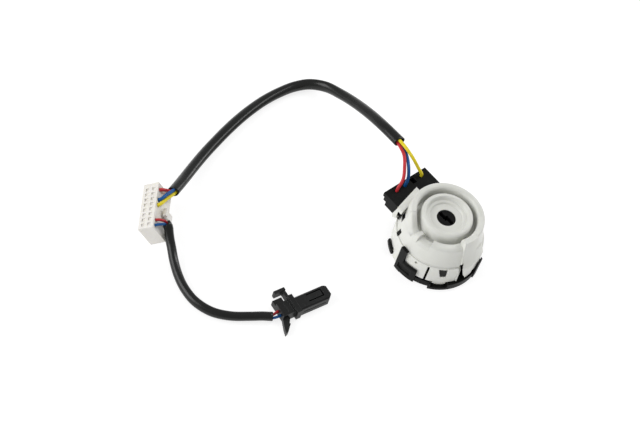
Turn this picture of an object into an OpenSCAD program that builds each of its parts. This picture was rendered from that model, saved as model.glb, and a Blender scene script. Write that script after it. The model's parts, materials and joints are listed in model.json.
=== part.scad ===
// Ignition switch of a vehicle, with its wire harness: a round snap-together switch, a black
// terminal block with three wires, a sleeved lead to a flat multi-way connector, and a second
// sleeved lead from there to a small two-way plug.
// The switch stands upright on its base. The turning axis of the rotor is +Z, the origin is where
// that axis meets the underside of the base, and the terminal block points to -X.

/* [Housing] */
// Outer radius of the drum at its rim
drum_r = 17.5; // [16.5:0.25:18.5]
// Height of the rim above the underside of the base
rim_z = 30; // [29:0.25:32]
// Wall of the drum at the rim
rim_wall = 3.1; // [2.8:0.1:3.3]
// Depth of the ring gap between the rim and the boss
gap_depth = 7.6; // [6.5:0.1:8.5]
// Thickness of the deck under the ring gap
deck_t = 1.9; // [1.5:0.1:2.4]
// Outer radius of the boss that carries the rotor
boss_r = 12.3; // [11.8:0.1:12.5]
// How far the lip of the boss lies below the rim
lip_drop = 0.6; // [0.3:0.1:1.2]
// Depth of the boss face below its lip
face_drop = 2.9; // [2.4:0.1:3.4]
// How far the skirt stands out beyond the drum
skirt_flare = 3.5; // [3.2:0.1:4.2]
// Wall of the skirt and of the shoulder
skirt_wall = 1.6; // [1.2:0.1:1.7]
// How far the front of the rim is cut down
front_drop = 4; // [3.6:0.1:4.4]
// Height of the ledge where the shoulder meets the skirt
shoulder_z = 15; // [14.5:0.25:15.5]

/* [Base] */
// Thickness of the base floor
base_t = 3; // [2.6:0.1:3.4]
// How far the lower flange stands out beyond the skirt
flange_out = 1.6; // [1.4:0.1:2]
// Height of the lower flange
flange_h = 3.7; // [3.4:0.1:4.1]
// Wall of the inner tube of the base
tube_wall = 1.2; // [0.9:0.1:1.3]

/* [Rotor] */
// Radius of the rotor shaft
rotor_r = 4.5; // [4:0.1:4.8]
// Width of the drive slot
slot_w = 1.9; // [1.5:0.1:2.3]
// Depth of the drive slot
slot_depth = 6; // [4:0.5:7]
// Radius of the lower pivot of the rotor
pivot_r = 3; // [2.5:0.1:3.4]
// Radius of the detent balls
ball_r = 1.6; // [1.3:0.1:1.8]
// Wire diameter of the return spring
return_wire = 1; // [0.8:0.1:1.1]

/* [Contacts] */
// Thickness of the fixed contacts
contact_t = 0.8; // [0.6:0.1:1]
// Thickness of the moving contact plate
plate_t = 0.9; // [0.7:0.1:1.2]
// Height of the contact springs
contact_spring_h = 6; // [5:0.25:6.5]
// Outer radius of the contact springs
contact_spring_r = 2.1; // [1.8:0.1:2.3]

/* [Terminal block] */
// Distance of the outer face of the block from the axis
block_reach = 28.1; // [27.5:0.1:30]
// Length of the block across the wires
block_w = 26.4; // [25:0.2:28]
// Height of the top of the block
block_top = 23.3; // [22.5:0.1:24]
// Height of the block itself
block_h = 7; // [6:0.25:7.5]
// Distance of the wire holes from the axis
hole_x = 25.5; // [25:0.1:26]
// Spacing of the wire holes
hole_pitch = 5.3; // [5:0.1:5.6]

/* [Wires and sleeves] */
// Diameter of the three switch wires
wire_d = 1.6; // [1.4:0.1:1.7]
// Diameter of the two plug wires
lead_d = 1.3; // [1.1:0.1:1.4]
// Outer diameter of the long sleeve
sleeve_d = 5.1; // [4.8:0.1:5.2]
// Outer diameter of the short sleeve
lead_sleeve_d = 4.3; // [4:0.1:4.4]

/* [Connector] */
// Length of the flat connector
conn_l = 25; // [24.5:0.25:28]
// Width of the flat connector
conn_w = 7.6; // [7.2:0.1:8.5]
// Height of the connector housing up to the wires
conn_h = 10.7; // [9.5:0.1:12]
// Thickness of the connector cover over the wires
cover_t = 1.9; // [1.6:0.1:2.6]
// Spacing of the connector ways
conn_pitch = 2.8; // [2.5:0.1:2.9]

/* [Plug] */
// Length of the plug nose in front of its collar
nose_l = 16.8; // [15:0.2:18]
// Width of the plug nose
nose_w = 7.3; // [6.8:0.1:7.8]
// Height of the plug
plug_h = 5.8; // [5.4:0.1:6.2]
// Width of the plug collar
collar_w = 9.8; // [9:0.1:11]
// Length of the plug behind its collar
tail_l = 6.4; // [6:0.2:7.2]

/* [Hidden] */

// Clearances: a turning fit, a snug fit between fixed pieces and a loose gap
run_gap = 0.05;
seat_gap = 0.2;
loose_gap = 0.4;
// Small edge break on moulded rims, and how far cutters pass a face
edge = 0.5;
over = 1;
round_fn = 96;
small_fn = 32;

// Housing section, from the outside in
rim_in_r = drum_r - rim_wall;
lip_z = rim_z - lip_drop;
face_z = lip_z - face_drop;
rim_round = 1.6;
lip_round = 1.4;
lip_w = 0.6;
step_in = 3;
step_rise = 1.1;
face_in = 4.2;
low_drop = front_drop + 2.2;
low_round = 0.8;
gap_z = rim_z - gap_depth;
deck_z = gap_z - deck_t;
edge_z = rim_z - edge;
skirt_r = drum_r + skirt_flare;
skirt_in_r = skirt_r - skirt_wall;
ledge = 0.6;
foot_r = skirt_r - ledge;
skirt_z = flange_h + loose_gap;
bore_r = rotor_r + run_gap;
bore_wall = 1.45;
recess_wall = 2.4;
recess_r = boss_r - recess_wall;
recess_roof = 1.5;
ring_inset = 1.7;
ring_or = drum_r - ring_inset;
ring_wall = 1.4;
track_r = ring_or - ring_wall;
strap_out = 0.8;
strap_more = 0.15;
strap_lip = 0.4;
strap_bend_z = shoulder_z + 6;
strap_step_z = skirt_z + 3.2;
shelf_t = 2.1;
shelf_z = block_top + seat_gap;
wing_t = 1.2;
wing_y = block_w / 2 + seat_gap;
leg_in = 0.3;
shoulder_steps = 6;

// Base
tube_ir = ring_or + loose_gap;
tube_or = tube_ir + tube_wall;
tube_top = deck_z - 1.5;
wall_r = (tube_ir + tube_or) / 2;
stand_r = skirt_r + loose_gap;
floor_r = skirt_in_r - seat_gap;
floor_lip_r = skirt_r + seat_gap;
flange_r = skirt_r + flange_out;
flange_low = 1.6;
bracket_r = skirt_r + 1.2;
bracket_h = 9;
bracket_slope = 1.2;
bracket_gap = 0.15;
hook_r = bracket_r + 0.2;
hook_rise = 1.2;
guard_in_r = skirt_r + 1.3;
guard_r = guard_in_r + 0.9;
guard_h = 12;
root_h = flange_h - 0.5;
side_tab_r = skirt_r + 1.5;
side_tab_z = [1.2, 3.2, 4.8, 5.6];
riser_x = tube_or + 0.6;
riser_t = 2.2;
riser_ys = [-5.8, 10.2];

// Rotor and contacts, from the base floor upwards
pivot_depth = 2;
contact_gap = 0.1;
dimple_h = 0.6;
dimple_r = 1.1;
plate_z = base_t + contact_t + contact_gap + dimple_h;
plate_top = plate_z + plate_t;
hub_w = 8;
hub_z = base_t + 0.5;
carrier_z = plate_top + 2;
carrier_top = deck_z - 2.2;
carrier_r = track_r - 1;
plate_r = carrier_r - 0.4;
rotor_top = face_z - 0.4;
contact_r = carrier_r - 3.4;
contact_half = 2;
contact_angles = [90, 210, 330];
contact_wire = 0.5;
pocket_z = plate_top + contact_spring_h;
detent_z = carrier_top - ball_r - 2.4;
detent_angle = 60;
detent_steps = [0, -40, -75];
detent_depth = 0.6;
ball_at = track_r - ball_r - contact_gap;
detent_wire = 0.6;
return_r = (bore_r + bore_wall + recess_r) / 2;
return_turns = 3;
return_leg = 6;
return_z = carrier_top + return_wire / 2 + seat_gap;
return_top = face_z - recess_roof - return_wire / 2 - seat_gap;
post_r = 1;
post_h = 1.6;
post_at = return_r + 2.6;
post_angle = -50;

// Places round the skirt, as angles in degrees from +X
clip_angles = [-37, 52, 112];
clip_top = shoulder_z - 0.6;
clip_low = shoulder_z - 6.5;
slot_angles = [-57, 36, 68, 96, 128];
slot_half = 1.6;
flange_arc = [-50, 80];
floor_lip_arc = [-70, -49];
strap_arc = [-16, 9];
strap_low_arc = [-15.4, 27];
hook_arc = [-99, -89];
bracket_arc = [-97.5, -68.5];
guard_arc = [13, 24];
side_tab_arc = [-130, -114];
side_hook_arc = [-122.9, -118];
side_window_arc = [-123.6, -117];
side_window_z = [shoulder_z - 1, shoulder_z + 2.6];
tongue_arc = [-46, -28];
tongue_tip_arc = [-42, -31];
tongue_z = [2.6, 1.9];
leg_arcs = [[-112.5, -100.5], [83, 142]];
leg_z = 0.6;
strap_gap_angle = -62.5;
strap_gap_start = 7;
strap_gap = [[15.6, 18.2], [14.3, 15.6], [15.9, 9.6], [16.1, 2], [19.2, 2], [18.5, 6.3], [17.5, 9.5],
    [16.5, 14.3]];
leg_hole_angle = -74.5;
front_arc = [-110, strap_arc[0] + 0.5];
low_arcs = [[-128, -95.5], [-88.5, -66]];
wing_window_arc = [-144, -131];
wing_window_z = [shoulder_z + 3.8, shoulder_z + 8];
riser_arc = [146, 200];

// Terminal block and wires
block_z = block_top - block_h;
block_hollow_r = shoulder_r(block_z) + seat_gap;
terminal_z = block_z + 1.7;
wire_r = wire_d / 2;
lead_r = lead_d / 2;
wire_hole_r = wire_r + seat_gap;
lead_hole_r = lead_r + seat_gap;
hole_shift = 0.55;
hole_ys = [for (i = [-1.5:1:1.5]) hole_shift + i * hole_pitch];
terminal_w = 1.6;
terminal_ys = [hole_ys[0], hole_ys[1], hole_ys[3]];
blade_ys = [-4.2, 1.6, terminal_ys[2]];
strip_angle = 46;
floor_ys = [-contact_r * sin(strip_angle), blade_ys[1], blade_ys[2]];
blade_x = riser_x + 0.4;
bend_x = 22.8;
jog_x = contact_r + contact_half + terminal_w / 2;
spare_way = [3, 2.6, 3.2];

// Connector: where it lies, and which way each wire uses
conn_at = [-84.7, -101.2, 0];
conn_turn = -44;
conn_roll = 34;
conn_shift = 0.6;
conn_ways = 8;
way_xs = [for (i = [0:conn_ways - 1]) conn_shift + (i - (conn_ways - 1) / 2) * conn_pitch];
wire_ways = [0, 2, 3];
lead_ways = [6, 7];
row_half = 1.6;
row_ys = [conn_w / 2 - row_half, conn_w / 2 + row_half];
pin_w = 1;
cavity_w = pin_w + 2 * seat_gap;
pin_z = 2;
pin_rise = 0.35 * cover_t;
cover_dip = 0.3 * cover_t;
roof_t = 1.2;
wire_end_y = row_ys[1] + pin_w / 2;
stub_l = 0.8;
lever_w = 4;
lever_h = 7;
lever_t = 1.1;
lever_gap = 0.9;
lever_foot = 1.4;
lever_grip = 0.7;
lever_x = way_xs[3] - seat_gap;

// Plug: where it lies, and its cavities
plug_at = [-11.85, -76.58, 0];
plug_turn = 81;
collar_t = 2.4;
collar_rise = 0.4;
plug_end = -collar_t - tail_l;
tail_w = 7;
nose_ys = [-nose_w / 2 - 0.45, nose_w / 2 - 0.45];
nose_edge = 0.7;
clip_block = [tail_l - 1.6, 3.1, 3.4];
clip_arm = [1.5, 5.6, 4];
fin = [[0.2, 0], [3.2, 0], [3.2, -1.8], [1.6, -4], [1.9, -4.4], [-1, -7.4], [-2.6, -8], [-2, -5.6],
    [-0.6, -2]];
latch_x = [5.6, 13.6];
latch_y = 1.7;
latch_w = 0.6;
latch_d = 1.2;
way_y = 1.15;
way_z = 2.4;
blade_w = 1.2;
way_w = blade_w + 2 * seat_gap;
lead_seat = 2.5;
retainer_x = [-5.6, -3.4];
retainer_z = way_z + blade_w / 2 + seat_gap;
retainer_w = tail_w - 1.8;

white = "#e9e9e4";
cream = "#ece9df";
black = "#1d1e20";
soft_black = "#17181a";
brass = "#c8a24a";
steel = "#b9bcc0";
red = "#c4141c";
blue = "#1440b8";
yellow = "#f0d000";

// Turning a point about X or Z, and from the frame of the connector or the plug
function turn_x(p, a) = [p[0], p[1] * cos(a) - p[2] * sin(a), p[1] * sin(a) + p[2] * cos(a)];
function turn_z(p, a) = [p[0] * cos(a) - p[1] * sin(a), p[0] * sin(a) + p[1] * cos(a), p[2]];
function from_connector(p) = conn_at + turn_z(turn_x(p, conn_roll), conn_turn);
function from_plug(p) = plug_at + turn_z(p, plug_turn);

// Cord routes: points along each centre line, chosen by hand. The ends in a piece follow that piece.
long_sleeve_route = [[-43.1, 8.3, 30], [-54.2, 9.9, 27.3], [-66.2, 12.8, 22], [-78.5, 15.6, 15.5],
    [-89.3, 16.9, 10], [-99, 16.1, 6], [-105.7, 11.7, 3.7], [-109, 4.9, 2.8], [-110.3, -3.1, 2.6],
    [-110.6, -12.3, 2.6], [-109.8, -22.1, 2.6], [-108.3, -31.5, 2.6], [-106.2, -40.9, 2.6],
    [-103.9, -49.4, 2.6], [-101.5, -57.4, 2.8], [-97.9, -67, 4], [-93.8, -76.6, 6], [-91.1, -82.5, 8],
    [-88.5, -88.5, 10]];
short_sleeve_route = [[-76.2, -102.2, 10.4], [-74.8, -101.8, 9.4], [-73, -102.6, 7.9],
    [-70.6, -103.7, 6.2], [-67.2, -105.1, 4.4], [-61.8, -107.7, 2.8], [-54.6, -110.7, 2.2],
    [-47.4, -112.6, 2.2], [-39.6, -112.8, 2.2], [-31.4, -110, 2.2], [-25, -104.5, 2.2],
    [-19.6, -96.9, 2.2], [-16.7, -92.5, 2.3]];
red_switch_route = [[-25.7, -6.7, 25.5], [-26.6, -4, 28.6], [-31, 0.2, 31], [-35.7, 4.1, 31.1],
    [-40.2, 6.3, 30.2], [-43.1, 7.3, 29.6], [-44.5, 7.4, 29.3]];
blue_switch_route = [[-25.6, -1.7, 25.5], [-26.6, -0.4, 28], [-30.3, 2.2, 30.6], [-35.4, 5.8, 30.1],
    [-39.5, 7.7, 29.7], [-43, 9.1, 29.5], [-44.4, 9.1, 29.3]];
yellow_switch_route = [[-25.6, 8.2, 25], [-27.4, 7.4, 27.2], [-32.6, 7, 30.6], [-38.3, 7.3, 31.8],
    [-43.2, 8.2, 30.9], [-44.7, 8.3, 30.6]];
red_connector_route = [[-89.9, -87.8, 9.6], [-89.4, -88.9, 9.9], [-90, -91.5, 11.8]];
blue_connector_route = [[-89.1, -87.1, 10.8], [-88.6, -88.2, 11.2], [-87.5, -93, 12.9]];
yellow_connector_route = [[-88, -87.1, 9.6], [-87.6, -88.1, 10], [-86.1, -94, 11.8]];
red_lead_route = [[-75.8, -101, 9.7], [-76.7, -101.6, 10.3], [-77.6, -103.6, 12.5]];
blue_lead_route = [[-74.8, -102.1, 9.8], [-75.7, -102.8, 10.5], [-76, -105.2, 12.7]];
lead_fan = [-13.9, -12.4];
lead_side = 0.8;

// Maths for sweeping a tube along a route
function unit(v) = v / norm(v);
function tangent(path, i) = unit(path[min(i + 1, len(path) - 1)] - path[max(i - 1, 0)]);
function side_of(t) = unit(cross(t, abs(t[2]) > 0.9 ? [1, 0, 0] : [0, 0, 1]));
function carried(n, t) = unit(n - (n * t) * t);
function sides_along(path) =
    [for (i = 0, n = side_of(tangent(path, 0)); i < len(path);
        i = i + 1, n = carried(n, tangent(path, min(i, len(path) - 1)))) n];
function ring(c, n, t, r, sides) =
    [for (k = [0:sides - 1]) c + r * (cos(360 * k / sides) * n + sin(360 * k / sides) * cross(t, n))];

// A closed round tube along a route
module tube(path, r, sides = 8) {
    normals = sides_along(path);
    rings = [for (i = [0:len(path) - 1]) ring(path[i], normals[i], tangent(path, i), r, sides)];
    last = (len(path) - 1) * sides;
    walls = [for (i = [0:len(path) - 2], k = [0:sides - 1], half = [0, 1])
        let (a = i * sides + k, b = i * sides + (k + 1) % sides)
        half == 0 ? [a, a + sides, b] : [b, a + sides, b + sides]];
    polyhedron(
        points = [for (loop = rings, p = loop) p],
        faces = concat([[for (k = [0:sides - 1]) k]], walls, [[for (k = [sides - 1:-1:0]) last + k]]));
}

// Centre line of a spring wound about Z
function helix(r, z0, z1, turns, steps) =
    [for (i = [0:turns * steps]) [r * cos(360 * i / steps), r * sin(360 * i / steps),
        z0 + (z1 - z0) * i / (turns * steps)]];

// A block of the ring between two radii, two heights and two angles
module sector(r0, r1, z0, z1, arc) {
    rotate([0, 0, arc[0]])
        rotate_extrude(angle = arc[1] - arc[0], $fn = round_fn)
            translate([r0, z0]) square([r1 - r0, z1 - z0]);
}

// The same for any section, drawn as radius and height
module swept(arc) {
    rotate([0, 0, arc[0]]) rotate_extrude(angle = arc[1] - arc[0], $fn = round_fn) children();
}

// A straight prism out of the switch at an angle, from an outline of sideways place and height
module prism(angle, start, outline) {
    rotate([0, 0, angle]) translate([start, 0, 0])
        rotate([90, 0, 90]) linear_extrude(guard_r - start + over) polygon(outline);
}

// Outline of a clip window, leaning as its leg does, or of the hook in it
function clip_outline(gap) =
    [[-2.6 + 1.2 * gap, clip_top - gap], [1.5 - gap, clip_top - gap], [2.1 - gap, clip_low + gap],
        [-0.9 + 0.8 * gap, clip_low + gap]];

// Radius of the flaring shoulder at a height
function shoulder_r(z) = drum_r + (foot_r - drum_r) * pow((edge_z - z) / (edge_z - shoulder_z), 1.25);
function shoulder_line(z0, z1, inset) =
    [for (i = [0:shoulder_steps]) let (z = z0 + (z1 - z0) * i / shoulder_steps) [shoulder_r(z) - inset, z]];

// Points of a rounded corner, from its centre
function corner(r, z, size, a0, a1) =
    [for (i = [0:3]) let (a = a0 + (a1 - a0) * i / 3) [r + size * cos(a), z + size * sin(a)]];

// Section of the housing: skirt, shoulder, rim, ring gap, boss, bore, spring recess and detent ring
module housing_section() {
    ring_z = detent_z - ball_r - over;
    step_z = face_z + step_rise;
    roof_z = face_z - recess_roof;
    polygon(concat(
        [[skirt_r, skirt_z], [skirt_r, shoulder_z]],
        shoulder_line(shoulder_z, edge_z, 0),
        [[drum_r - edge, rim_z]],
        corner(rim_in_r + rim_round, rim_z - rim_round, rim_round, 90, 180),
        [[rim_in_r, gap_z], [boss_r, gap_z]],
        corner(boss_r - lip_round, lip_z - lip_round, lip_round, 0, 90),
        [[boss_r - lip_round - lip_w, lip_z], [boss_r - step_in + edge, lip_z - edge],
            [boss_r - step_in, step_z], [boss_r - face_in, step_z - edge / 2],
            [boss_r - face_in - edge, face_z], [bore_r, face_z], [bore_r, deck_z],
            [bore_r + bore_wall, deck_z], [bore_r + bore_wall, roof_z], [recess_r, roof_z],
            [recess_r, deck_z], [track_r, deck_z], [track_r, ring_z],
            [ring_or, ring_z], [ring_or, deck_z]],
        shoulder_line(deck_z, shoulder_z, skirt_wall),
        [[skirt_in_r, shoulder_z - over], [skirt_in_r, skirt_z]]));
}

// What is cut away above a low part of the rim, which rounds off into the shoulder
module above_rim(z) {
    mid_r = (boss_r + rim_in_r) / 2;
    low_z = z - 2.75 * low_round;
    polygon([[mid_r, z], [drum_r - low_round, z], [drum_r + low_round / 4, z - low_round / 2],
        [drum_r + 2 * low_round, low_z], [foot_r, low_z], [foot_r, rim_z + over], [mid_r, rim_z + over]]);
}

// Sections of the broad strap: its upper part over the rim, and its wider lower part
module strap_section() {
    root_r = skirt_in_r + edge;
    lip_r = rim_in_r + 3 * loose_gap;
    top_z = rim_z + strap_lip;
    polygon([[lip_r, rim_z - over], [lip_r, top_z], [drum_r + edge, top_z],
        [drum_r + strap_out, edge_z - over], [shoulder_r(strap_bend_z) + strap_out, strap_bend_z],
        [skirt_r + strap_out, shoulder_z], [skirt_r + strap_out, skirt_z + edge], [root_r, skirt_z + edge],
        [root_r, shoulder_z - over], [drum_r - over / 2, rim_z - 4]]);
}
module strap_low_section() {
    out = strap_out + strap_more;
    root_r = skirt_in_r + 2 * leg_in;
    top_r = shoulder_r(strap_bend_z);
    top_z = strap_bend_z - edge;
    polygon([[top_r - edge, top_z], [top_r + edge, top_z],
        [skirt_r + out, shoulder_z - edge], [skirt_r + out, strap_step_z], [root_r, strap_step_z],
        [root_r, shoulder_z - over]]);
}

// Shelf over the inner edge of the terminal block, from above, with a straight outer edge
module shelf_plan() {
    end_y = wing_y + wing_t + leg_in;
    polygon([[-skirt_r, edge], [0.1 - drum_r, edge], [-14.4, -10.2], [-15.2, -10.6],
        [-14.2, -end_y], [-17.4, -end_y]]);
}

// Wing that hangs from the shelf beside the end of the terminal block
module wing() {
    top_z = shelf_z + shelf_t - edge;
    translate([0, -wing_y, 0]) rotate([90, 0, 0]) linear_extrude(wing_t)
        polygon([[-17.3, top_z], [-14.4, top_z], [-16.4, block_z + 1.1], [-18.6, block_z],
            [-19.2, block_z + 1.9]]);
}

// White moulded housing with its clip legs, straps and windows
module housing() {
    leg_r = skirt_r - strap_more;
    hole_r = 0.75;
    color(white) difference() {
        union() {
            difference() {
                rotate_extrude($fn = round_fn) housing_section();
                // Low front of the rim, and the lower places that leave a tooth standing
                swept(front_arc) above_rim(rim_z - front_drop);
                for (arc = low_arcs)
                    swept(arc) above_rim(rim_z - low_drop);
            }
            swept(strap_arc) strap_section();
            swept(strap_low_arc) strap_low_section();
            translate([0, 0, shelf_z]) linear_extrude(shelf_t) shelf_plan();
            wing();
            // Legs that reach lower than the skirt, and the stepped tongue of the front clip
            for (arc = leg_arcs)
                sector(skirt_in_r + leg_in, leg_r, leg_z, skirt_z + over, arc);
            sector(skirt_in_r + leg_in, leg_r, tongue_z[0], skirt_z + over, tongue_arc);
            sector(skirt_in_r + 2 * leg_in, leg_r - strap_more, tongue_z[1], skirt_z + over / 2,
                tongue_tip_arc);
        }
        // Clip windows
        for (a = clip_angles)
            prism(a, tube_or + seat_gap, clip_outline(0));
        // Slots that free the clip legs
        for (a = slot_angles)
            sector(skirt_in_r - over, skirt_r + over, -over, clip_top, [a - slot_half, a + slot_half]);
        // Slanted gap beside the broad strap, and the open foot under its wider part
        prism(strap_gap_angle, strap_gap_start, strap_gap);
        sector(skirt_in_r - over, skirt_r + over, -over, strap_step_z - seat_gap,
            [strap_arc[1] + 0.5, slot_angles[1]]);
        // Windows beside the terminal block and behind its wing
        sector(tube_or + seat_gap, skirt_r + over, side_window_z[0], side_window_z[1], side_window_arc);
        sector(tube_or + seat_gap, skirt_r + over, wing_window_z[0], wing_window_z[1], wing_window_arc);
        // Small hole in the leg over the bracket
        rotate([0, 0, leg_hole_angle]) translate([skirt_in_r - over, 0, shoulder_z - 2]) rotate([0, 90, 0])
            cylinder(r = hole_r, h = skirt_wall + 2 * over, $fn = small_fn);
        // Way out for the terminals, under the block
        sector(tube_or + seat_gap, skirt_r + over, skirt_z - over, terminal_z + loose_gap, riser_arc);
        // Detent notches in the ring, one pair for each key position
        for (s = detent_steps, half = [0, 180])
            rotate([0, 0, detent_angle + s + half])
                translate([track_r - ball_r + detent_depth, 0, detent_z - ball_r - 2 * over])
                    cylinder(r = ball_r, h = 2 * ball_r + 3 * over, $fn = small_fn);
    }
}

// Section of a foot that runs out under the skirt and stands up outside it, with a sloped top
module foot_section(r_in, r, high) {
    polygon([[wall_r, 0], [r, 0], [r, high - bracket_slope], [r_in, high], [r_in, root_h], [wall_r, root_h]]);
}

// Section of the thin tab on the other side, chamfered below
module side_tab_section() {
    polygon([[wall_r, side_tab_z[0]], [skirt_r + edge, side_tab_z[0]], [side_tab_r, side_tab_z[1]],
        [side_tab_r, side_tab_z[2]], [side_tab_r - edge, side_tab_z[3]], [stand_r, side_tab_z[3]],
        [stand_r, root_h], [wall_r, root_h]]);
}

// Section of the hook that shows in the side window of the housing
module side_hook_section() {
    low = side_window_z[0] + leg_in;
    high = side_window_z[1] - leg_in;
    polygon([[wall_r, low], [skirt_r - 0.1, low], [foot_r + seat_gap, low + over], [foot_r - edge, high],
        [wall_r, high]]);
}

// Section of the hook that reaches over the ledge of the housing
module hook_section() {
    ledge_z = shoulder_z + loose_gap;
    top_z = shoulder_z + hook_rise;
    polygon([[wall_r, 0], [hook_r, 0], [hook_r, top_z], [foot_r + loose_gap, top_z],
        [foot_r + loose_gap, ledge_z], [stand_r, ledge_z], [stand_r, flange_h], [wall_r, flange_h]]);
}

// Black moulded base: floor, inner tube, flange, clip hooks, side bracket and terminal riser
module base() {
    channel_w = terminal_w + 2 * seat_gap;
    channel_x = blade_x + contact_t + seat_gap;
    riser_w = riser_ys[1] - riser_ys[0];
    color(black) difference() {
        union() {
            cylinder(r = floor_r, h = base_t, $fn = round_fn);
            difference() {
                cylinder(r = tube_or, h = tube_top, $fn = round_fn);
                translate([0, 0, base_t]) cylinder(r = tube_ir, h = tube_top, $fn = round_fn);
            }
            // Flange in front of the legs, and the lip that carries on from it
            sector(wall_r, flange_r, 0, flange_h, flange_arc);
            sector(wall_r, floor_lip_r, 0, root_h, floor_lip_arc);
            // Hooks that snap into the clip windows
            for (a = clip_angles) intersection() {
                prism(a, tube_ir + over / 2, clip_outline(leg_in));
                cylinder(r = skirt_r - seat_gap, h = rim_z, $fn = round_fn);
            }
            swept(side_hook_arc) side_hook_section();
            // Side bracket, its hook over the ledge, the guard behind the strap, and the thin tab
            swept(bracket_arc) foot_section(stand_r + bracket_gap, bracket_r, bracket_h);
            swept(hook_arc) hook_section();
            swept(guard_arc) foot_section(guard_in_r, guard_r, guard_h);
            swept(side_tab_arc) side_tab_section();
            // Riser under the terminal block
            translate([-riser_x - riser_t, riser_ys[0], 0]) cube([riser_t, riser_w, block_z]);
        }
        // Pivot hole of the rotor
        translate([0, 0, base_t - pivot_depth]) cylinder(r = pivot_r + run_gap, h = base_t, $fn = small_fn);
        // Pocket in the side bracket
        sector(stand_r + loose_gap, hook_r + over, 2.6, 6.2, [bracket_arc[0] + 2.5, bracket_arc[1] - 7]);
        // Room for the tongue of the front clip leg
        sector(skirt_in_r - seat_gap / 2, flange_r + over, flange_low, flange_h + over,
            [tongue_arc[0] - 1.5, tongue_arc[1] + 1.5]);
        // Slots for the terminals, low through the tube and up the riser
        for (y = blade_ys) {
            translate([-channel_x, y - channel_w / 2, base_t])
                cube([channel_x - jog_x + terminal_w / 2 + seat_gap, channel_w, contact_t + seat_gap]);
            translate([-channel_x, y - channel_w / 2, base_t])
                cube([channel_x - riser_x + seat_gap, channel_w, block_z]);
        }
    }
}

// Black terminal block that seats on the riser, hollowed round the housing
module terminal_block() {
    color(black) difference() {
        translate([-block_reach, -block_w / 2, block_z]) cube([block_reach, block_w, block_h]);
        translate([0, 0, block_z - over])
            cylinder(r = block_hollow_r, h = block_h + 2 * over, $fn = round_fn);
        translate([0, -block_w, block_z - over]) cube([block_reach, 2 * block_w, block_h + 2 * over]);
        // Wire holes, and a spare way that has none
        for (y = terminal_ys)
            translate([-hole_x, y, terminal_z]) cylinder(r = wire_hole_r, h = block_h, $fn = small_fn);
        translate([-hole_x - spare_way[0] / 2, hole_ys[2] - spare_way[1] / 2, block_top - spare_way[2]])
            cube(spare_way + [0, 0, over]);
        // Channels for the terminals in the underside
        for (i = [0:2])
            translate([0, 0, block_z - over])
                linear_extrude(terminal_z - block_z + over) terminal_plan(i, seat_gap);
        // Step on the end beside the wing
        translate([-block_reach - over, -block_w / 2 - over, block_z - over])
            cube([block_reach - hole_x + over, 1.6 + over, block_h - 2.4 + over]);
    }
}

// The part of a terminal that lies in the block, from above: out, sideways, and out under its wire hole
module terminal_plan(i, grow) {
    half = terminal_w / 2 + grow;
    low = min(blade_ys[i], terminal_ys[i]) - half;
    high = max(blade_ys[i], terminal_ys[i]) + half;
    translate([-bend_x - half, blade_ys[i] - half]) square([bend_x + half - blade_x + grow, 2 * half]);
    translate([-bend_x - half, low]) square([2 * half, high - low]);
    translate([-hole_x - half, terminal_ys[i] - half]) square([hole_x + half - bend_x, 2 * half]);
}

// The part of a fixed contact that lies on the base floor, from above: an arc and a strip out to the riser
module contact_plan(arc, i) {
    half = terminal_w / 2;
    reach = 2 * carrier_r;
    low = min(blade_ys[i], floor_ys[i]) - half;
    high = max(blade_ys[i], floor_ys[i]) + half;
    strip_in = sqrt(pow(contact_r, 2) - pow(floor_ys[i], 2));
    intersection() {
        difference() {
            circle(r = contact_r + contact_half, $fn = round_fn);
            circle(r = contact_r - contact_half, $fn = round_fn);
        }
        polygon([[0, 0], for (a = [arc[0], (arc[0] + arc[1]) / 2, arc[1]]) reach * [cos(a), sin(a)]]);
    }
    translate([-blade_x - contact_t, blade_ys[i] - half]) square([blade_x + contact_t - jog_x, terminal_w]);
    translate([-jog_x - half, low]) square([terminal_w, high - low]);
    translate([-jog_x, floor_ys[i] - half]) square([jog_x - strip_in, terminal_w]);
}

// A fixed contact: its arc and strip, a blade up the riser, and its run in the block
module fixed_contact(arc, i) {
    blade_z = base_t + contact_t;
    color(brass) {
        translate([0, 0, base_t]) linear_extrude(contact_t) contact_plan(arc, i);
        translate([-blade_x - contact_t, blade_ys[i] - terminal_w / 2, blade_z])
            cube([contact_t, terminal_w, terminal_z - contact_t - blade_z]);
        translate([0, 0, terminal_z - contact_t]) linear_extrude(contact_t) terminal_plan(i, 0);
    }
}
module contact_battery() fixed_contact([220, 320], 0);
module contact_accessory() fixed_contact([160, 199], 1);
module contact_ignition() fixed_contact([40, 148], 2);

// Black rotor: shaft with a stepped drive slot, contact carrier, square hub and lower pivot
module rotor() {
    color(soft_black) difference() {
        union() {
            translate([0, 0, carrier_top - over])
                cylinder(r = rotor_r, h = rotor_top - carrier_top + over, $fn = round_fn);
            translate([0, 0, carrier_z]) cylinder(r = carrier_r, h = carrier_top - carrier_z, $fn = round_fn);
            translate([-hub_w / 2, -hub_w / 2, hub_z]) cube([hub_w, hub_w, carrier_z - hub_z + over]);
            translate([0, 0, base_t - pivot_depth + seat_gap])
                cylinder(r = pivot_r, h = pivot_depth + over, $fn = round_fn);
            // Post that winds the return spring
            rotate([0, 0, post_angle]) translate([post_at, 0, carrier_top - over])
                cylinder(r = post_r, h = post_h + over, $fn = small_fn);
        }
        drive_slot();
        for (a = contact_angles)
            rotate([0, 0, a]) translate([contact_r, 0, carrier_z - over])
                cylinder(r = contact_spring_r + seat_gap, h = pocket_z - carrier_z + over, $fn = small_fn);
        rotate([0, 0, detent_angle]) translate([-carrier_r - over, 0, detent_z]) rotate([0, 90, 0])
            cylinder(r = ball_r + run_gap, h = 2 * (carrier_r + over), $fn = small_fn);
    }
}

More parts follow.
